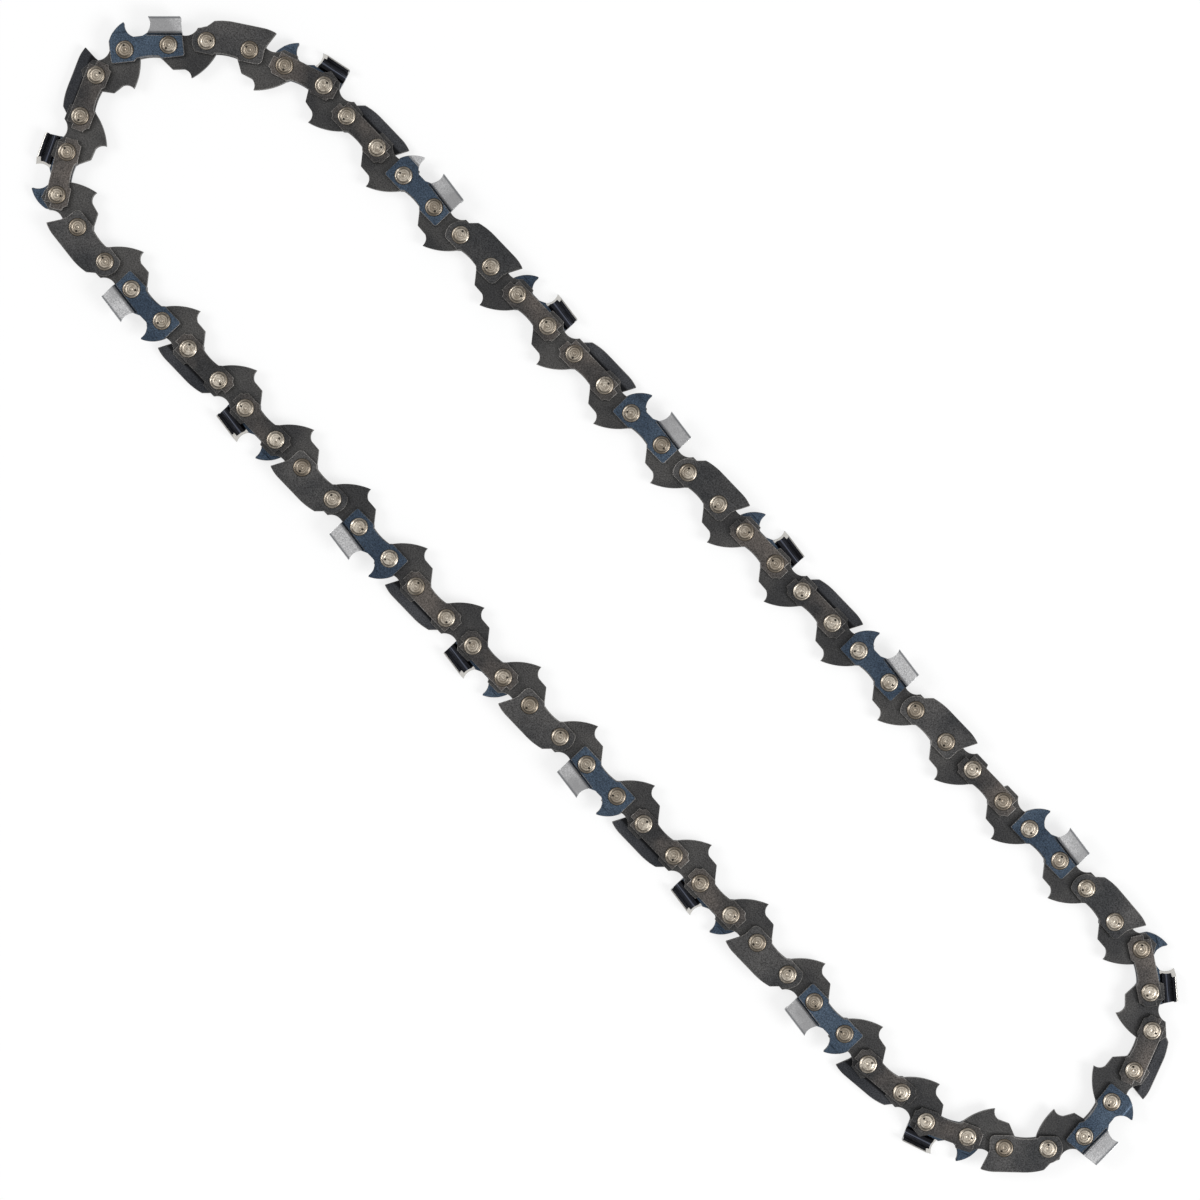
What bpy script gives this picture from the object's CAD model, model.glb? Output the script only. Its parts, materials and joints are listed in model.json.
import json
from math import atan2, cos, pi, radians, sin, tan

import bmesh
import bpy
from mathutils import Matrix, Vector

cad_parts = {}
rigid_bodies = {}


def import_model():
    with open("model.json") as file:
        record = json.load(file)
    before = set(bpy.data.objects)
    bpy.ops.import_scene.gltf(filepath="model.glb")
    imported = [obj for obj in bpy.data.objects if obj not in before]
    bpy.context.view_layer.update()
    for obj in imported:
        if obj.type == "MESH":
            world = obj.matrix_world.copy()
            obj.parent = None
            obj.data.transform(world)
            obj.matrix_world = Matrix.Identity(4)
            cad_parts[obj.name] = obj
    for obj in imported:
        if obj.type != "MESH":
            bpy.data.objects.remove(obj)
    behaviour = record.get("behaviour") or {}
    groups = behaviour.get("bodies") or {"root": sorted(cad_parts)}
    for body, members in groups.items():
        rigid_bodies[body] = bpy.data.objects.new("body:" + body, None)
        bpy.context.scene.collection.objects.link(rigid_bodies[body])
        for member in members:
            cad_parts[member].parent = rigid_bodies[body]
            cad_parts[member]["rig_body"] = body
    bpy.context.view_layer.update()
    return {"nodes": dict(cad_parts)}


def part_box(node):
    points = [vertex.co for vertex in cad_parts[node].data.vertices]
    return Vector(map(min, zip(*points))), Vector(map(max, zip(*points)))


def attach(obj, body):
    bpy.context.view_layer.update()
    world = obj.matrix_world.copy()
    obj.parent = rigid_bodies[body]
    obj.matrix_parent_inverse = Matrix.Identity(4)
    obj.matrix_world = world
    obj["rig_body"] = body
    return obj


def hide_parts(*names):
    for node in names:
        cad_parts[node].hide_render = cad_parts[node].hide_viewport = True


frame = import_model()

# RIVETS
# Turned pins of bright steel. A fat hub in the middle carries the drive link, and both ends are spun over
# on the outer plates, which leaves a raised rim, a dished face with rings and a small pit beside the middle.
mm = 0.001
hair = 0.001 * mm
plate_inner = 0.715 * mm
plate_outer = 1.865 * mm
rivet_foot, rivet_crown = (corner.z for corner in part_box("right_turn_rivets"))
chain_middle = (rivet_foot + rivet_crown) / 2
rivet_steps = 32
# Radius and height over the plate, in millimetres, from the dimple out to the edge of the head
rivet_head = (
    (0.16, 0.405), (0.30, 0.455), (0.60, 0.475), (0.70, 0.450), (0.82, 0.470), (1.12, 0.455), (1.22, 0.415),
    (1.34, 0.435), (1.48, 0.405), (1.57, 0.335), (1.66, 0.365), (1.76, 0.410), (1.88, 0.375), (1.99, 0.290),
    (2.06, 0.190), (2.10, 0.080), (2.07, 0.0),
)
rivet_neck = 1.3 * mm
rivet_hub = 1.75 * mm
pit_from, pit_to = 0.70 * mm, 1.22 * mm
pit_half_turn = radians(11)
pit_middle = Vector((0.96 * mm, 0))
pit_radius = 0.27 * mm
pit_slope = 0.07 * mm
pit_depth = 0.20 * mm
turn_between_rivets = radians(137.5)
rivet_crease = 40


def rivet_axes(node):
    """Where a node's rivets stand, seen from above: the crown and the foot of a rivet are in line."""
    points = [vertex.co for vertex in frame["nodes"][node].data.vertices]
    crowns = [point.xy for point in points if abs(point.z - rivet_crown) < hair]
    feet = [point.xy for point in points if abs(point.z - rivet_foot) < hair]
    axes = []
    for crown in crowns:
        in_line = any((crown - foot).length < hair for foot in feet)
        if in_line and all((crown - axis).length > hair for axis in axes):
            axes.append(crown)
    return axes


def rivets_in_order():
    """All the rivets in the order of the chain, from the front of the first outer link of the upper run."""
    rivet_nodes = list(outer_nodes.values()) + ["right_turn_rivets", "left_turn_rivets"]
    loose = [axis for node in rivet_nodes for axis in rivet_axes(node)]
    first, second = sorted(rivet_axes(outer_nodes[1]), key=lambda axis: axis.x)
    third = min(rivet_axes(outer_nodes[2]), key=lambda axis: axis.x)
    link_lengths = ((second - first).length, (third - second).length)
    ordered = [first]
    while len(ordered) < len(loose):
        here = ordered[-1]
        length = link_lengths[(len(ordered) - 1) % 2]
        ahead = [axis for axis in loose if axis not in ordered]
        ordered.append(min(ahead, key=lambda axis: abs((axis - here).length - length)))
    return ordered


def link_place(number):
    """The place of a link: its front rivet, turned to face its rear rivet. Even links are outer ones."""
    front = rivets[number % len(rivets)]
    way = rivets[(number + 1) % len(rivets)] - front
    to_front = Matrix.Translation((front.x, front.y, chain_middle))
    return to_front @ Matrix.Rotation(atan2(way.y, way.x), 4, "Z")


def turn_of(pitch):
    """The name of the turn that a pitch outside the two runs belongs to."""
    return "right_turn" if rivets[2 * pitch - 1].x > 0 else "left_turn"


def pick(piece):
    """Selects this piece alone."""
    bpy.ops.object.select_all(action="DESELECT")
    piece.select_set(True)
    bpy.context.view_layer.objects.active = piece


def edit(piece):
    """Picks a piece and goes into edit mode with nothing of it selected."""
    pick(piece)
    bpy.ops.object.mode_set(mode="EDIT")
    bpy.context.tool_settings.mesh_select_mode = (True, False, False)
    bpy.ops.mesh.select_all(action="DESELECT")


def close_edit():
    """Merges what meets, points all faces outwards and leaves edit mode."""
    bpy.ops.mesh.select_all(action="SELECT")
    bpy.ops.mesh.remove_doubles(threshold=hair)
    bpy.ops.mesh.normals_make_consistent(inside=False)
    bpy.ops.object.mode_set(mode="OBJECT")


def draw_profile(name, points):
    """A line through points, drawn corner by corner from a single vertex."""
    bpy.ops.object.select_all(action="DESELECT")
    bpy.ops.mesh.primitive_plane_add(size=mm)
    piece = bpy.context.object
    piece.name = name
    bpy.ops.object.mode_set(mode="EDIT")
    bpy.context.tool_settings.mesh_select_mode = (True, False, False)
    bpy.ops.mesh.select_all(action="SELECT")
    bpy.ops.mesh.merge(type="CENTER")
    bpy.ops.transform.translate(value=points[0])
    for start, end in zip(points, points[1:]):
        step = Vector(end) - Vector(start)
        bpy.ops.mesh.extrude_region_move(TRANSFORM_OT_translate={"value": step})
    return piece


def keep_link_frame(piece):
    """Keeps every point's place in its own link, in millimetres, for the materials that follow the link."""
    places = piece.data.attributes.new("link", "FLOAT_VECTOR", "POINT")
    for vertex, place in zip(piece.data.vertices, places.data):
        place.vector = vertex.co / mm


def smooth(piece, angle=35):
    """Smooth shading, sharp where faces meet at more than the angle, and with flat faces kept flat."""
    pick(piece)
    bpy.ops.object.shade_smooth_by_angle(angle=radians(angle))
    weighting = piece.modifiers.new("flat_faces", "WEIGHTED_NORMAL")
    weighting.weight = 100
    weighting.keep_sharp = True
    bpy.ops.object.modifier_apply(modifier=weighting.name)


def lay(master, places, name, node):
    """Copies of a finished master at their places, as one piece that rides with the node it stands for."""
    copies = []
    for place in places:
        copied = bpy.data.objects.new(name, master.data.copy())
        copied.data.transform(place)
        bpy.context.scene.collection.objects.link(copied)
        copies.append(copied)
    bpy.ops.object.select_all(action="DESELECT")
    for copied in copies:
        copied.select_set(True)
    piece = copies[0]
    bpy.context.view_layer.objects.active = piece
    if len(copies) > 1:
        bpy.ops.object.join()
    piece.name = name
    piece.data.name = name
    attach(piece, frame["nodes"][node]["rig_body"])
    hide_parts(node)
    return piece


def joined(tree, kind, inputs, **settings):
    """A new node with its settings, each of its inputs given a value or joined to another node's output."""
    made = tree.nodes.new(kind)
    for name, value in settings.items():
        setattr(made, name, value)
    for name, value in inputs.items():
        if isinstance(value, bpy.types.NodeSocket):
            tree.links.new(value, made.inputs[name])
        else:
            made.inputs[name].default_value = value
    return made


def new_finish(name):
    """A new material with an empty node tree, and its output node."""
    material = bpy.data.materials.new(name)
    material.use_nodes = True
    material.node_tree.nodes.clear()
    output = material.node_tree.nodes.new("ShaderNodeOutputMaterial")
    return material, material.node_tree, output


def ranged(tree, value, low, high, start=0.0, end=1.0):
    """The value, read between start and end, spread from low to high."""
    limits = {"Value": value, "From Min": start, "From Max": end, "To Min": low, "To Max": high}
    return joined(tree, "ShaderNodeMapRange", limits).outputs["Result"]


def worked(tree, operation, *values, **settings):
    """The outcome of one sum on values or on other nodes' outputs."""
    inputs = dict(enumerate(values))
    return joined(tree, "ShaderNodeMath", inputs, operation=operation, **settings).outputs[0]


def mixed(tree, factor, first, second, blend="MIX"):
    """Two colours mixed by a factor."""
    made = tree.nodes.new("ShaderNodeMix")
    made.data_type = "RGBA"
    made.blend_type = blend
    colour_sockets = {0: factor, 6: first, 7: second}
    for index, value in colour_sockets.items():
        if isinstance(value, bpy.types.NodeSocket):
            tree.links.new(value, made.inputs[index])
        else:
            made.inputs[index].default_value = value
    return made.outputs[2]


# What all the steels of the chain share: clouds of uneven finish, fine speckle and short rubbed scratches
cloud_fineness, speckle_fineness = 90.0, 3800.0
scratch_turn = radians(31)
scratch_fineness = (300.0, 5200.0, 900.0)
scratch_from, scratch_to = 0.62, 0.78
# Nearly all of a noise lies between these two
noise_low, noise_high = 0.3, 0.7

steel_marks = bpy.data.node_groups.new("steel_marks", "ShaderNodeTree")
steel_marks.interface.new_socket("Place", in_out="INPUT", socket_type="NodeSocketVector")
for mark in ("Clouds", "Speckle", "Scratches"):
    steel_marks.interface.new_socket(mark, in_out="OUTPUT", socket_type="NodeSocketFloat")
marks_in = steel_marks.nodes.new("NodeGroupInput")
marks_out = steel_marks.nodes.new("NodeGroupOutput")
clouds = joined(
    steel_marks, "ShaderNodeTexNoise",
    {"Vector": marks_in.outputs["Place"], "Scale": cloud_fineness, "Detail": 3.0, "Roughness": 0.5},
)
speckle = joined(
    steel_marks, "ShaderNodeTexNoise",
    {"Vector": marks_in.outputs["Place"], "Scale": speckle_fineness, "Detail": 4.0, "Roughness": 0.7},
)
along_scratches = joined(
    steel_marks, "ShaderNodeMapping",
    {"Vector": marks_in.outputs["Place"], "Rotation": (0, 0, scratch_turn), "Scale": scratch_fineness},
)
scratch_lines = joined(
    steel_marks, "ShaderNodeTexNoise",
    {"Vector": along_scratches.outputs["Vector"], "Scale": 1.0, "Detail": 2.0, "Roughness": 0.55},
)
steel_marks.links.new(clouds.outputs["Fac"], marks_out.inputs["Clouds"])
steel_marks.links.new(speckle.outputs["Fac"], marks_out.inputs["Speckle"])
scratches = ranged(steel_marks, scratch_lines.outputs["Fac"], 0.0, 1.0, scratch_from, scratch_to)
steel_marks.links.new(scratches, marks_out.inputs["Scratches"])


def place_on_piece(tree):
    """The place of a point on its piece, where that rests."""
    return tree.nodes.new("ShaderNodeTexCoord").outputs["Object"]


def marks_of(tree):
    """The shared steel marks, laid on the piece."""
    marks = tree.nodes.new("ShaderNodeGroup")
    marks.node_tree = steel_marks
    tree.links.new(place_on_piece(tree), marks.inputs["Place"])
    return marks.outputs


def bumped(tree, height, depth):
    """A bump of this depth in millimetres."""
    return joined(tree, "ShaderNodeBump", {"Height": height, "Strength": 1.0, "Distance": depth * mm})


def surface(tree, output, colour, metallic, roughness, bump):
    """A metal's shader, joined to the output of its material."""
    shader = joined(
        tree, "ShaderNodeBsdfPrincipled",
        {
            "Base Color": colour,
            "Metallic": metallic,
            "Roughness": roughness,
            "Normal": bump.outputs["Normal"],
        },
    )
    tree.links.new(shader.outputs["BSDF"], output.inputs["Surface"])


rivet_warm = (0.66, 0.60, 0.51, 1)
rivet_dull = (0.21, 0.175, 0.135, 1)
rivet_shadow = (0.05, 0.044, 0.038, 1)
# Radii and depths in millimetres, and how fine and how strong the marks on the head are
ring_fineness, ring_wander, ring_depth = 13.0, 0.35, 0.014
mottle_fineness = 1500.0
mottle_from, mottle_to, mottle_most = 0.44, 0.62, 0.8
tarnish_from, tarnish_to, tarnish_most = 0.40, 0.60, 0.60
groove_radius, groove_half_width, groove_dark = 1.57, 0.16, 0.55
pit_dark_to, pit_dark_end, pit_darkest = 0.22, 0.33, 0.95
rim_dark_from, rim_dark_to = 1.96, 2.08
rivet_polish, rivet_matt = 0.30, 0.46

rivet_steel, tree, output = new_finish("rivet_steel")
marks = marks_of(tree)
link = joined(tree, "ShaderNodeAttribute", {}, attribute_name="link")
flat_link = joined(
    tree, "ShaderNodeVectorMath", {0: link.outputs["Vector"], 1: (1, 1, 0)}, operation="MULTIPLY"
)
radius = joined(tree, "ShaderNodeVectorMath", {0: flat_link.outputs[0]}, operation="LENGTH").outputs["Value"]
wander = worked(tree, "MULTIPLY", marks["Speckle"], ring_wander)
ring_place = worked(tree, "ADD", radius, wander)
ring_wave = worked(tree, "SINE", worked(tree, "MULTIPLY", ring_place, ring_fineness))
rings = ranged(tree, ring_wave, 0.0, 1.0, -1.0, 1.0)
ring_share = worked(tree, "MULTIPLY", rings, marks["Clouds"])
uneven = ranged(tree, marks["Clouds"], 0.0, tarnish_most, tarnish_from, tarnish_to)
mottle = joined(
    tree, "ShaderNodeTexNoise",
    {"Vector": place_on_piece(tree), "Scale": mottle_fineness, "Detail": 3.0, "Roughness": 0.7},
).outputs["Fac"]
mottle_share = ranged(tree, mottle, 0.0, mottle_most, mottle_from, mottle_to)
tarnish = worked(tree, "ADD", ring_share, uneven, use_clamp=True)
rim_dark = ranged(tree, radius, 0.0, 1.0, rim_dark_from, rim_dark_to)
pit_place = (pit_middle / mm).to_3d()
from_pit = joined(tree, "ShaderNodeVectorMath", {0: flat_link.outputs[0], 1: pit_place}, operation="DISTANCE")
pit_dark = ranged(tree, from_pit.outputs["Value"], pit_darkest, 0.0, pit_dark_to, pit_dark_end)
groove_near = worked(tree, "COMPARE", radius, groove_radius, groove_half_width)
colour = mixed(tree, tarnish, rivet_warm, rivet_dull)
colour = mixed(tree, mottle_share, colour, rivet_dull)
groove_share = worked(tree, "MULTIPLY", groove_near, groove_dark)
colour = mixed(tree, groove_share, colour, rivet_shadow)
colour = mixed(tree, rim_dark, colour, rivet_shadow)
colour = mixed(tree, pit_dark, colour, rivet_shadow)
roughness = ranged(tree, mottle, rivet_polish, rivet_matt, noise_low, noise_high)
ring_bump = bumped(tree, worked(tree, "MULTIPLY", rings, mottle), ring_depth)
surface(tree, output, colour, 1.0, roughness, ring_bump)

head = [(radius_mm * mm, 0, plate_outer + height * mm) for radius_mm, height in rivet_head]
crown_middle = (0, 0, head[0][2])
upper_half = [crown_middle] + head + [
    (rivet_neck, 0, plate_outer), (rivet_neck, 0, plate_inner), (rivet_hub, 0, plate_inner),
]
lower_half = [(x, y, -z) for x, y, z in reversed(upper_half)]
rivet = draw_profile("rivet", upper_half + lower_half)
bpy.ops.mesh.select_all(action="SELECT")
bpy.ops.mesh.spin(steps=rivet_steps, angle=2 * pi, center=(0, 0, 0), axis=(0, 0, 1))
bpy.ops.mesh.select_all(action="SELECT")
bpy.ops.mesh.remove_doubles(threshold=hair)
for side in (1, -1):
    bpy.context.tool_settings.mesh_select_mode = (False, False, True)
    bpy.ops.mesh.select_all(action="DESELECT")
    shape = bmesh.from_edit_mesh(rivet.data)
    pit = set()
    for face in shape.faces:
        middle = face.calc_center_median()
        in_ring = pit_from < middle.xy.length < pit_to and abs(atan2(middle.y, middle.x)) < pit_half_turn
        if in_ring and middle.z * side > plate_outer:
            face.select_set(True)
            pit.add(face)
    for corner in {corner for face in pit for corner in face.verts}:
        if any(face not in pit for face in corner.link_faces):
            corner.co.xy = pit_middle + (corner.co.xy - pit_middle).normalized() * pit_radius
    bmesh.update_edit_mesh(rivet.data)
    bpy.ops.mesh.inset(thickness=pit_slope, depth=0)
    bpy.ops.transform.translate(value=(0, 0, -side * pit_depth))
close_edit()
keep_link_frame(rivet)
rivet.data.materials.append(rivet_steel)
smooth(rivet, rivet_crease)

outer_nodes = {int(name[-2:]): name for name in frame["nodes"] if "_link_" in name and "drive" not in name}
rivets = rivets_in_order()
pitches = range(1, len(rivets) // 2 + 1)
rivet_places = {}
for pitch in pitches:
    node = outer_nodes.get(pitch) or turn_of(pitch) + "_rivets"
    outer = link_place(2 * pitch - 2)
    strap_pitch = (rivets[2 * pitch - 1] - rivets[2 * pitch - 2]).length
    for along in (0, strap_pitch):
        turned = Matrix.Rotation((2 * pitch + bool(along)) * turn_between_rivets, 4, "Z")
        rivet_places.setdefault(node, []).append(outer @ Matrix.Translation((along, 0, 0)) @ turned)
for node, places in rivet_places.items():
    name = node + "_finished" if node.endswith("_rivets") else node + "_rivets"
    lay(rivet, places, name, node)

# DRIVE LINKS
# Stamped from flat steel strip and blackened, with two holes that turn on the rivet hubs and a tang below
# that runs in the groove of the guide bar. The edges are rolled over a little by the stamping.
drive_edge_roll = 0.10 * mm
drive_dark = (0.040, 0.040, 0.041, 1)
drive_pale = (0.074, 0.072, 0.070, 1)
edge_dark = (0.070, 0.067, 0.064, 1)
edge_worn = (0.23, 0.22, 0.21, 1)
flat_within = radians(0.5)
worn_slot = 1
oxide_cloud_from, oxide_cloud_to = 0.38, 0.64
grain_from, grain_to = 0.34, 0.68
grain_dark, grain_bright, grain_depth = 0.30, 1.75, 0.010
rubbed_share = 0.16
oxide_metallic = 0.85


def solid_of(node, place, corner, name):
    """The solid of a CAD node that has the point nearest to corner, merged and back in its link frame."""
    piece = bpy.data.objects.new(name, frame["nodes"][node].data.copy())
    bpy.context.scene.collection.objects.link(piece)
    piece.data.transform(place.inverted())
    piece.data.materials.clear()
    edit(piece)
    bpy.ops.mesh.select_all(action="SELECT")
    bpy.ops.mesh.customdata_custom_splitnormals_clear()
    bpy.ops.mesh.remove_doubles(threshold=hair)
    bpy.ops.mesh.select_all(action="DESELECT")
    shape = bmesh.from_edit_mesh(piece.data)
    nearest = min(shape.verts, key=lambda vertex: (vertex.co - Vector(corner) * mm).length)
    nearest.select_set(True)
    bmesh.update_edit_mesh(piece.data)
    bpy.ops.mesh.select_linked()
    bpy.ops.mesh.select_all(action="INVERT")
    bpy.ops.mesh.delete(type="VERT")
    bpy.ops.mesh.select_all(action="SELECT")
    bpy.ops.mesh.dissolve_limited(angle_limit=flat_within)
    bpy.ops.object.mode_set(mode="OBJECT")
    return piece


def roll_edges(piece, width, angle=40):
    """Rolls the sharp edges over by a small bevel whose faces take the piece's second material."""
    bevel = piece.modifiers.new("rolled_edges", "BEVEL")
    bevel.width = width
    bevel.segments = 2
    bevel.limit_method = "ANGLE"
    bevel.angle_limit = radians(angle)
    bevel.material = worn_slot
    bevel.use_clamp_overlap = False
    pick(piece)
    bpy.ops.object.modifier_apply(modifier=bevel.name)


def blackened(name, dark, pale, rough_low, rough_high):
    """Black oxide on steel: nearly black, a little uneven, with fine grain and a few rubbed scratches."""
    material, tree, output = new_finish(name)
    marks = marks_of(tree)
    cloud_share = ranged(tree, marks["Clouds"], 0.0, 1.0, oxide_cloud_from, oxide_cloud_to)
    colour = mixed(tree, cloud_share, dark, pale)
    grain = ranged(tree, marks["Speckle"], grain_dark, grain_bright, grain_from, grain_to)
    grain_colour = joined(tree, "ShaderNodeCombineColor", {0: grain, 1: grain, 2: grain}).outputs["Color"]
    colour = mixed(tree, 1.0, colour, grain_colour, "MULTIPLY")
    rubbed = worked(tree, "MULTIPLY", marks["Scratches"], rubbed_share)
    colour = mixed(tree, rubbed, colour, edge_worn)
    roughness = ranged(tree, marks["Speckle"], rough_low, rough_high, noise_low, noise_high)
    surface(tree, output, colour, oxide_metallic, roughness, bumped(tree, marks["Speckle"], grain_depth))
    return material


drive_steel = blackened("drive_steel", drive_dark, drive_pale, rough_low=0.36, rough_high=0.52)
worn_edge = blackened("worn_edge", edge_dark, edge_worn, rough_low=0.40, rough_high=0.54)

drive_link = solid_of("drive_link_01", link_place(1), (0, 0, 0), "drive_link")
drive_link.data.materials.append(drive_steel)
drive_link.data.materials.append(worn_edge)
roll_edges(drive_link, drive_edge_roll)
smooth(drive_link)

drive_places = {}
for pitch in pitches:
    node = f"drive_link_{pitch:02d}" if pitch in outer_nodes else turn_of(pitch) + "_drive_links"
    drive_places.setdefault(node, []).append(link_place(2 * pitch - 1))
for node, places in drive_places.items():
    lay(drive_link, places, node + "_finished", node)

# TIE STRAPS
# Flat steel plates, blackened, that hold two drive links together on the side opposite a cutter or a bumper
# strap. The closing link has one on each side. Their ends are stepped where they pass the drive links.
strap_edge_roll = 0.15 * mm
strap_dark = (0.036, 0.036, 0.037, 1)
strap_pale = (0.108, 0.095, 0.086, 1)
closing_pitch = next(pitch for pitch, name in outer_nodes.items() if name.startswith("closing"))
link_order = ("upper_cutter", "upper_bumper", "lower_cutter", "lower_bumper")


def link_kind(pitch):
    """What an outer link carries. The order repeats all round the loop, from the closing link on."""
    if pitch == closing_pitch:
        return "closing"
    return link_order[(pitch - closing_pitch - 1) % len(pitches) % len(link_order)]


def turned_over(master):
    """The other hand of a plate, for the lower side of the chain."""
    other = bpy.data.objects.new(master.name + "_lower", master.data.copy())
    bpy.context.scene.collection.objects.link(other)
    other.data.transform(Matrix.Scale(-1, 4, (0, 0, 1)))
    edit(other)
    close_edit()
    smooth(other)
    return other


strap_steel = blackened("strap_steel", strap_dark, strap_pale, rough_low=0.38, rough_high=0.54)
upper_side = plate_outer / mm
tongue_corner = (-3.25, 1.0, upper_side)
lower_cutter_pitch = next(pitch for pitch in outer_nodes if link_kind(pitch) == "lower_cutter")
tie_strap = solid_of(
    outer_nodes[lower_cutter_pitch], link_place(2 * lower_cutter_pitch - 2), tongue_corner, "tie_strap"
)
tie_strap.data.materials.append(strap_steel)
tie_strap.data.materials.append(worn_edge)
roll_edges(tie_strap, strap_edge_roll)
smooth(tie_strap)
tie_strap_lower = turned_over(tie_strap)

upper_straps, lower_straps = {}, {}
for pitch in pitches:
    node = outer_nodes.get(pitch) or turn_of(pitch) + "_straps"
    place = link_place(2 * pitch - 2)
    if not link_kind(pitch).startswith("lower"):
        lower_straps.setdefault(node, []).append(place)
    if not link_kind(pitch).startswith("upper"):
        upper_straps.setdefault(node, []).append(place)
for node, places in upper_straps.items():
    lay(tie_strap, places, node.replace("_straps", "") + "_upper_tie_strap", node)
for node, places in lower_straps.items():
    lay(tie_strap_lower, places, node.replace("_straps", "") + "_lower_tie_strap", node)

# BUMPER STRAPS
# Tie straps with a long hump that leads up to the next depth gauge, so that the chain kicks back less.
# They are stamped from the same strip and blackened like the tie straps.
bumper_dark = (0.040, 0.041, 0.043, 1)
bumper_pale = (0.080, 0.078, 0.077, 1)
oiled_dark = (0.030, 0.032, 0.037, 1)
oiled_pale = (0.062, 0.064, 0.070, 1)
slit_black = (0.004, 0.004, 0.005, 1)
# How far up the hump, in millimetres, the dirt reaches that gathers behind the tie strap
slit_from, slit_to = 2.95, 3.35
slit_dark = 0.9
oiled_slot = 2
facing_in = -0.99

bumper_steel = blackened("bumper_steel", bumper_dark, bumper_pale, rough_low=0.36, rough_high=0.52)
oiled_steel = blackened("oiled_steel", oiled_dark, oiled_pale, rough_low=0.26, rough_high=0.44)
tree = oiled_steel.node_tree
shader = tree.nodes["Principled BSDF"]
link = joined(tree, "ShaderNodeAttribute", {}, attribute_name="link")
up_hump = joined(tree, "ShaderNodeSeparateXYZ", {"Vector": link.outputs["Vector"]}).outputs["Y"]
dirt = ranged(tree, up_hump, slit_dark, 0.0, slit_from, slit_to)
oiled_colour = shader.inputs["Base Color"].links[0].from_socket
tree.links.new(mixed(tree, dirt, oiled_colour, slit_black), shader.inputs["Base Color"])
upper_bumper_pitch = next(pitch for pitch in outer_nodes if link_kind(pitch) == "upper_bumper")
hump_corner = (5.3, 5.52, upper_side)
bumper_strap = solid_of(
    outer_nodes[upper_bumper_pitch], link_place(2 * upper_bumper_pitch - 2), hump_corner, "bumper_strap"
)
for material in (bumper_steel, worn_edge, oiled_steel):
    bumper_strap.data.materials.append(material)
roll_edges(bumper_strap, strap_edge_roll)
for face in bumper_strap.data.polygons:
    if face.normal.z < facing_in:
        face.material_index = oiled_slot
keep_link_frame(bumper_strap)
smooth(bumper_strap)
bumper_strap_lower = turned_over(bumper_strap)

for side, master in (("upper", bumper_strap), ("lower", bumper_strap_lower)):
    bumper_places = {}
    for pitch in pitches:
        if link_kind(pitch) == side + "_bumper":
            node = outer_nodes.get(pitch) or turn_of(pitch) + "_straps"
            bumper_places.setdefault(node, []).append(link_place(2 * pitch - 2))
    for node, places in bumper_places.items():
        name = node.replace("_straps", "") + f"_{side}_bumper_strap"
        lay(master, places, name, node)

# CUTTERS
# One bent sheet each: a blued plate with a depth gauge in front, and behind it a tooth whose side is kicked
# out and whose top is folded over. The outside of the tooth is hard chromed, and a round file sharpens it.
cutter_edge_roll = 0.07 * mm
plate_edge_roll = 0.16 * mm
shortest_edge = 0.03 * mm
gauge_bend_start = 3.85 * mm
gauge_bend_end = 4.15 * mm
gauge_bend = 0.2 * mm
gauge_rear = 2.5 * mm
# The outer link whose depth gauge has lost its blueing
bare_gauge_pitch = 2
top_edge_grind = 0.32 * mm
plate_top = 2.4 * mm
cutter_crease = 33
outline_angle = radians(60)
chrome_slot, filed_slot, inside_slot = 2, 3, 4
blued_dark = (0.033, 0.050, 0.076, 1)
blued_pale = (0.060, 0.086, 0.122, 1)
inside_black = (0.006, 0.006, 0.008, 1)
inside_sheen = (0.014, 0.015, 0.020, 1)
inside_streak = (0.110, 0.122, 0.160, 1)
chrome_pale = (0.72, 0.72, 0.725, 1)
chrome_white = (0.90, 0.90, 0.90, 1)
chrome_dull = (0.30, 0.30, 0.305, 1)
chrome_shadow = (0.16, 0.165, 0.175, 1)
filed_bright = (0.66, 0.64, 0.60, 1)
filed_dull = (0.38, 0.37, 0.35, 1)
# In millimetres and degrees, as the tooth lies in its link
tooth_slope = 6.4
rear_rivet_x = 9.96
chrome_start = 2.45
fold_start = 5.75
bright_line = 6.36
foot_reach, fold_reach = 0.9, 0.4
line_half_width = 0.07
corner_from, corner_to = 0.08, 0.16
streaks_from, streaks_to = 3.95, 5.15
streak_rise_reach, streak_fall_reach = 0.35, 0.25
tooth_front_x = 5
top_edge_z, top_edge_play, grind_reach = -0.19, 0.03, 0.5
top_plate_level = 6.2
file_middle = Vector((2.75, 5.4, 2.805))
file_radius = 3.3
file_play = 0.25
file_angle = 25
file_way = Vector((sin(radians(file_angle)), 0, -cos(radians(file_angle))))
# How much of a face's normal lies along an axis, for the finish that the face gets
facing_file, facing_out, facing_back = -0.7, 0.4, 0.7
facing_grind, facing_under = 0.2, -0.3
# How fine and how strong the marks on the tooth are
streak_fineness = (0.05, 4.4, 0.3)
streak_low, streak_high = 0.52, 0.64
brush_fineness, stroke_fineness = (0.8, 9.0, 9.0), (12.0, 12.0, 1.0)
foot_darkest, fold_darkest, corner_darkest, line_brightest = 0.75, 0.95, 0.9, 0.45
dull_speckle_from, dull_speckle_to = 0.40, 0.66
dull_brush_from, dull_brush_to, dull_brush_most = 0.42, 0.70, 0.55
dull_cloud_from, dull_cloud_to, dull_cloud_most = 0.42, 0.60, 0.85
chrome_polish, chrome_matt, brush_depth = 0.24, 0.40, 0.015
filed_from, filed_to = 0.4, 0.7
filed_polish, filed_matt, stroke_depth = 0.20, 0.34, 0.012

cutter_steel = blackened("blued_steel", blued_dark, blued_pale, rough_low=0.30, rough_high=0.46)
inside_steel = blackened("tempered_black", inside_black, inside_sheen, rough_low=0.14, rough_high=0.24)


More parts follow.
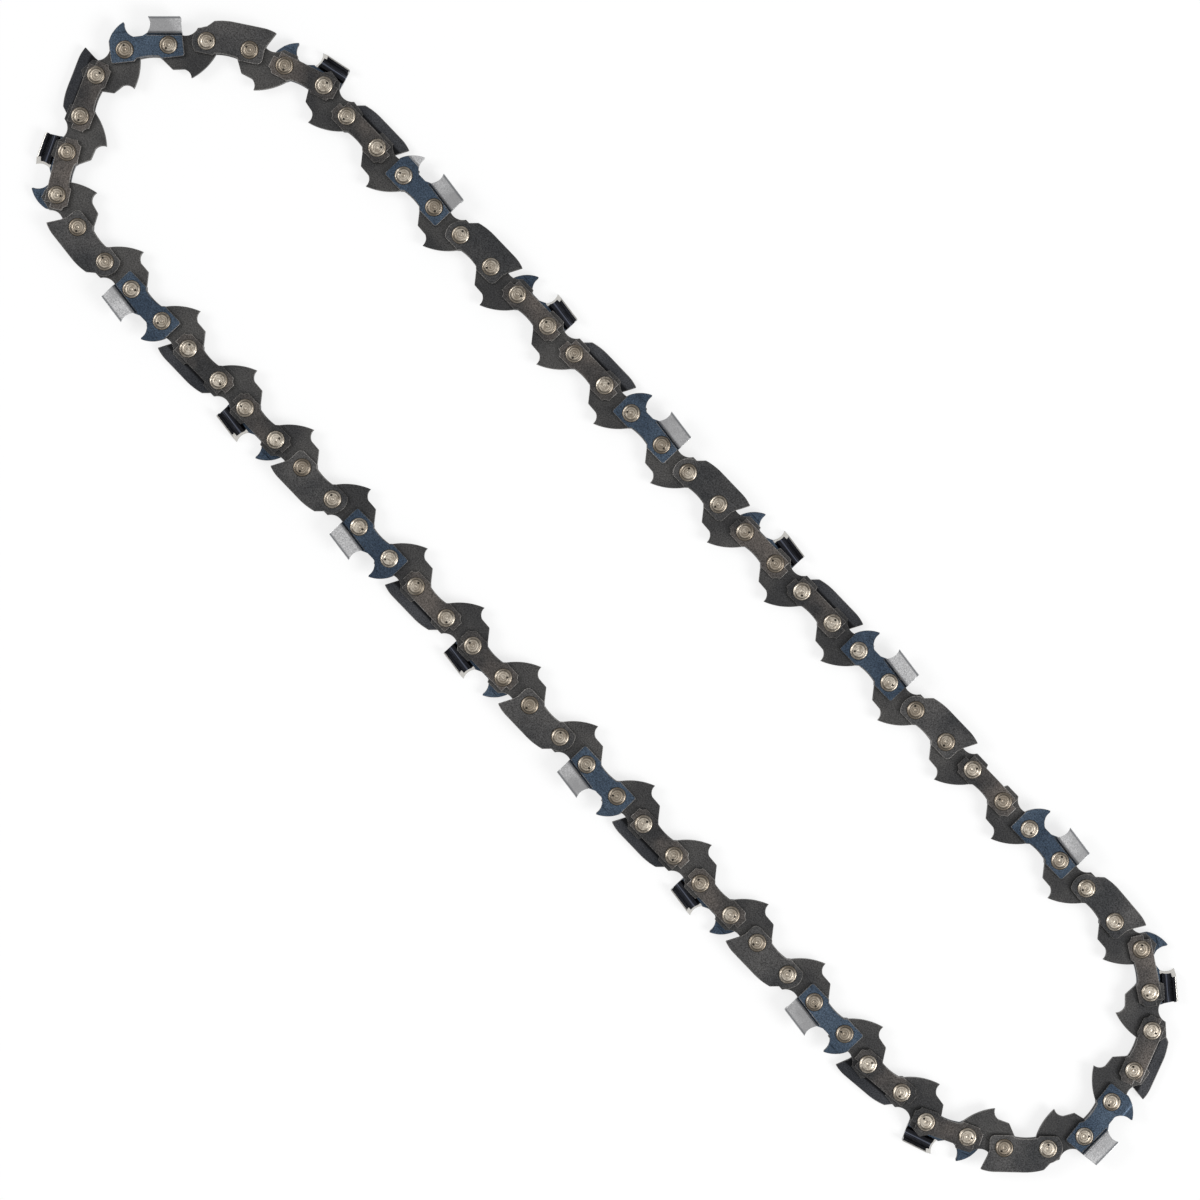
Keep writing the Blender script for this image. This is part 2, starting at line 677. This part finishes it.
def along_tooth(tree, fineness):
    """A point's level over the foot line of the sloping tooth, and its place for a pattern along it."""
    link = joined(tree, "ShaderNodeAttribute", {}, attribute_name="link")
    place = joined(tree, "ShaderNodeSeparateXYZ", {"Vector": link.outputs["Vector"]}).outputs
    level = worked(tree, "MULTIPLY_ADD", place["X"], tan(radians(tooth_slope)), place["Y"])
    sloped = joined(tree, "ShaderNodeCombineXYZ", {"X": place["X"], "Y": level, "Z": place["Z"]})
    drawn_out = joined(tree, "ShaderNodeMapping", {"Vector": sloped.outputs["Vector"], "Scale": fineness})
    return level, drawn_out.outputs["Vector"]


def level_at(height):
    """The level of a point at this height over the line of the rivets, at the rear one."""
    return height + rear_rivet_x * tan(radians(tooth_slope))


def height_at_rear(place):
    """The height that a point of the sloping tooth would have at the rear rivet."""
    return place.y + (place.x - rear_rivet_x) * tan(radians(tooth_slope))


tree = inside_steel.node_tree
shader = tree.nodes["Principled BSDF"]
level, streak_place = along_tooth(tree, streak_fineness)
streak_lines = joined(
    tree, "ShaderNodeTexNoise", {"Vector": streak_place, "Scale": 1.0, "Detail": 2.0}
).outputs["Fac"]
streaks = ranged(tree, streak_lines, 0.0, 1.0, streak_low, streak_high)
streak_start, streak_end = level_at(streaks_from), level_at(streaks_to)
streak_rise = ranged(tree, level, 0.0, 1.0, streak_start, streak_start + streak_rise_reach)
streak_fall = ranged(tree, level, 1.0, 0.0, streak_end - streak_fall_reach, streak_end)
streak_share = worked(tree, "MULTIPLY", streaks, worked(tree, "MULTIPLY", streak_rise, streak_fall))
inside_colour = shader.inputs["Base Color"].links[0].from_socket
tree.links.new(mixed(tree, streak_share, inside_colour, inside_streak), shader.inputs["Base Color"])

chrome, tree, output = new_finish("hard_chrome")
marks = marks_of(tree)
level, brush_place = along_tooth(tree, brush_fineness)
brush_lines = joined(
    tree, "ShaderNodeTexNoise", {"Vector": brush_place, "Scale": 1.6, "Detail": 5.0, "Roughness": 0.65}
).outputs["Fac"]
foot_level, fold_level, line_level = level_at(chrome_start), level_at(fold_start), level_at(bright_line)
foot_dark = ranged(tree, level, foot_darkest, 0.0, foot_level, foot_level + foot_reach)
fold_dark = ranged(tree, level, 0.0, fold_darkest, fold_level, fold_level + fold_reach)
fold_line = worked(tree, "COMPARE", level, line_level, line_half_width)
fold_bright = worked(tree, "MULTIPLY", fold_line, line_brightest)
corner_dark = ranged(tree, level, 0.0, corner_darkest, line_level + corner_from, line_level + corner_to)
speckle_share = ranged(tree, marks["Speckle"], 0.0, 1.0, dull_speckle_from, dull_speckle_to)
brush_share = ranged(tree, brush_lines, 0.0, dull_brush_most, dull_brush_from, dull_brush_to)
cloud_share = ranged(tree, marks["Clouds"], 0.0, dull_cloud_most, dull_cloud_from, dull_cloud_to)
colour = mixed(tree, speckle_share, chrome_pale, chrome_dull)
colour = mixed(tree, brush_share, colour, chrome_dull)
colour = mixed(tree, cloud_share, colour, chrome_dull)
colour = mixed(tree, fold_dark, colour, chrome_shadow)
colour = mixed(tree, fold_bright, colour, chrome_white)
colour = mixed(tree, corner_dark, colour, rivet_shadow)
colour = mixed(tree, foot_dark, colour, chrome_shadow)
roughness = ranged(tree, brush_lines, chrome_polish, chrome_matt, noise_low, noise_high)
surface(tree, output, colour, 1.0, roughness, bumped(tree, brush_lines, brush_depth))

filed_steel, tree, output = new_finish("filed_steel")
link = joined(tree, "ShaderNodeAttribute", {}, attribute_name="link")
strokes = joined(tree, "ShaderNodeMapping", {"Vector": link.outputs["Vector"], "Scale": stroke_fineness})
stroke_lines = joined(
    tree, "ShaderNodeTexNoise", {"Vector": strokes.outputs["Vector"], "Scale": 1.5, "Detail": 3.0}
).outputs["Fac"]
colour = mixed(tree, ranged(tree, stroke_lines, 0.0, 1.0, filed_from, filed_to), filed_bright, filed_dull)
roughness = ranged(tree, stroke_lines, filed_polish, filed_matt, noise_low, noise_high)
surface(tree, output, colour, 1.0, roughness, bumped(tree, stroke_lines, stroke_depth))

upper_cutter_pitch = next(pitch for pitch in outer_nodes if link_kind(pitch) == "upper_cutter")
gauge_corner = (0.35, 6.3, upper_side)
cutter = solid_of(
    outer_nodes[upper_cutter_pitch], link_place(2 * upper_cutter_pitch - 2), gauge_corner, "cutter"
)
for material in (cutter_steel, worn_edge, chrome, filed_steel, inside_steel):
    cutter.data.materials.append(material)
edit(cutter)
bpy.context.tool_settings.mesh_select_mode = (False, False, True)
shape = bmesh.from_edit_mesh(cutter.data)
for face in shape.faces:
    on_gauge = any(corner.co.y > gauge_bend_start and corner.co.x < gauge_rear for corner in face.verts)
    face.select_set(on_gauge and all(corner.co.z > 0 for corner in face.verts))
bmesh.update_edit_mesh(cutter.data)
for bend_line in (gauge_bend_start, gauge_bend_end):
    bpy.ops.mesh.bisect(plane_co=(0, bend_line, 0), plane_no=(0, 1, 0))
    shape = bmesh.from_edit_mesh(cutter.data)
    for face in shape.faces:
        on_gauge = any(corner.co.y > bend_line + hair and corner.co.x < gauge_rear for corner in face.verts)
        face.select_set(on_gauge)
    bmesh.update_edit_mesh(cutter.data)
bpy.ops.transform.translate(value=(0, 0, -gauge_bend))
bpy.ops.mesh.select_all(action="DESELECT")
bpy.context.tool_settings.mesh_select_mode = (False, True, False)
shape = bmesh.from_edit_mesh(cutter.data)
for edge in shape.edges:
    places = [corner.co / mm for corner in edge.verts]
    on_edge = all(abs(place.z - top_edge_z) < top_edge_play for place in places)
    on_top = all(height_at_rear(place) > top_plate_level for place in places)
    edge.select_set(on_edge and on_top)
bmesh.update_edit_mesh(cutter.data)
bpy.ops.mesh.bevel(offset=top_edge_grind, segments=2, affect="EDGES")
bpy.ops.mesh.select_all(action="DESELECT")
shape = bmesh.from_edit_mesh(cutter.data)
for edge in shape.edges:
    on_outline = len(edge.link_faces) == 2 and edge.calc_face_angle() > outline_angle
    on_plate = all(abs(corner.co.z - plate_outer) < hair and corner.co.y < plate_top for corner in edge.verts)
    edge.select_set(on_outline and on_plate)
bmesh.update_edit_mesh(cutter.data)
bpy.ops.mesh.bevel(offset=plate_edge_roll, segments=2, affect="EDGES", material=worn_slot)
bpy.ops.mesh.select_all(action="SELECT")
bpy.ops.mesh.remove_doubles(threshold=shortest_edge)
bpy.ops.mesh.dissolve_degenerate(threshold=shortest_edge)
bpy.ops.object.mode_set(mode="OBJECT")
roll_edges(cutter, cutter_edge_roll, cutter_crease)
for face in cutter.data.polygons:
    middle = face.center / mm
    off_axis = (middle - file_middle) - file_way * (middle - file_middle).dot(file_way)
    faces_file = face.normal.dot(off_axis.normalized()) < facing_file
    on_tooth = height_at_rear(middle) > chrome_start and middle.x > tooth_front_x
    along, up, aside = face.normal
    outside = aside > facing_out or up > facing_out or along > facing_back
    on_grind = middle.z < top_edge_z + grind_reach and up > facing_grind and aside < -facing_grind
    if on_tooth and (on_grind or faces_file and abs(off_axis.length - file_radius) < file_play):
        face.material_index = filed_slot
    elif on_tooth and outside and aside > facing_under:
        face.material_index = chrome_slot
    elif on_tooth and (up < -facing_out or aside < facing_under):
        face.material_index = inside_slot
keep_link_frame(cutter)
smooth(cutter)
cutter_lower = turned_over(cutter)

for side, master in (("upper", cutter), ("lower", cutter_lower)):
    cutter_places = {}
    for pitch in pitches:
        if link_kind(pitch) == side + "_cutter":
            node = outer_nodes.get(pitch) or turn_of(pitch) + "_cutters"
            cutter_places.setdefault(node, []).append(link_place(2 * pitch - 2))
    for node, places in cutter_places.items():
        name = node.replace("_cutters", "") + f"_{side}_cutter"
        laid = lay(master, places, name, node)
        if node == outer_nodes[bare_gauge_pitch]:
            for face in laid.data.polygons:
                in_link = link_place(2 * bare_gauge_pitch - 2).inverted() @ face.center
                if in_link.y > gauge_bend_start and in_link.x < gauge_rear:
                    face.material_index = chrome_slot

upper_masters = (rivet, drive_link, tie_strap, bumper_strap, cutter)
lower_masters = (tie_strap_lower, bumper_strap_lower, cutter_lower)
for master in upper_masters + lower_masters:
    bpy.data.objects.remove(master)

# FLOOR, LIGHT AND CAMERA
# The chain lies on a white sheet under broad soft light, and the camera looks straight down on it.
# The sheet is lit from below as well, as far as eye and metal can see, so that only a faint shadow is left.
floor_white = (0.94, 0.94, 0.94, 1)
floor_size = 6.0
glow_share = 0.75
floor_gap = 0.02 * mm
overhead = (0.86, 0.86, 0.86, 1)
surround = (0.40, 0.40, 0.405, 1)
overhead_from, overhead_to = 0.82, 0.97
lamp_size = 0.6
photo_width = 272.4 * mm
photo_middle = Vector((0.69 * mm, -3.44 * mm, chain_middle))
photo_turn = 46.23
camera_height = 1.0

bpy.ops.object.select_all(action="DESELECT")
bpy.ops.mesh.primitive_plane_add(size=floor_size, location=(0, 0, -floor_gap))
floor = bpy.context.object
floor.name = "floor"
sheet, tree, output = new_finish("white_sheet")
shader = joined(tree, "ShaderNodeBsdfPrincipled", {"Base Color": floor_white, "Roughness": 0.7})
shader.inputs["Specular IOR Level"].default_value = 0.2
glow = joined(tree, "ShaderNodeEmission", {"Color": (1, 1, 1, 1), "Strength": 1.0})
ray = tree.nodes.new("ShaderNodeLightPath").outputs
seen = worked(tree, "MAXIMUM", ray["Is Camera Ray"], ray["Is Glossy Ray"])
seen = worked(tree, "MAXIMUM", seen, ray["Is Transmission Ray"])
share = worked(tree, "MULTIPLY", seen, glow_share)
lit = joined(tree, "ShaderNodeMixShader", {0: share, 1: shader.outputs["BSDF"], 2: glow.outputs["Emission"]})
tree.links.new(lit.outputs["Shader"], output.inputs["Surface"])
floor.data.materials.append(sheet)

world = bpy.data.worlds.new("studio")
world.use_nodes = True
bpy.context.scene.world = world
tree = world.node_tree
tree.nodes.clear()
direction = tree.nodes.new("ShaderNodeTexCoord")
height = joined(tree, "ShaderNodeSeparateXYZ", {"Vector": direction.outputs["Generated"]}).outputs["Z"]
sky = mixed(tree, ranged(tree, height, 0.0, 1.0, overhead_from, overhead_to), surround, overhead)
background = joined(tree, "ShaderNodeBackground", {"Color": sky, "Strength": 1.0})
output = tree.nodes.new("ShaderNodeOutputWorld")
tree.links.new(background.outputs["Background"], output.inputs["Surface"])

for name, place, power in (
    ("left_light", (-0.94, -0.48, 1.1), 7.5),
    ("right_light", (1.0, 0.31, 1.0), 12.5),
):
    lamp = bpy.data.lights.new(name, "AREA")
    lamp.size = lamp_size
    lamp.energy = power
    light = bpy.data.objects.new(name, lamp)
    light.location = place
    light.rotation_euler = (-Vector(place)).to_track_quat("-Z", "Y").to_euler()
    bpy.context.scene.collection.objects.link(light)

lens = bpy.data.cameras.new("camera")
lens.sensor_width = 36
lens.lens = lens.sensor_width * camera_height / photo_width
lens.clip_end = 10
camera = bpy.data.objects.new("camera", lens)
camera.location = photo_middle + Vector((0, 0, camera_height))
camera.rotation_euler = (0, 0, radians(photo_turn))
bpy.context.scene.collection.objects.link(camera)
bpy.context.scene.camera = camera
bpy.context.scene.view_settings.view_transform = "Standard"
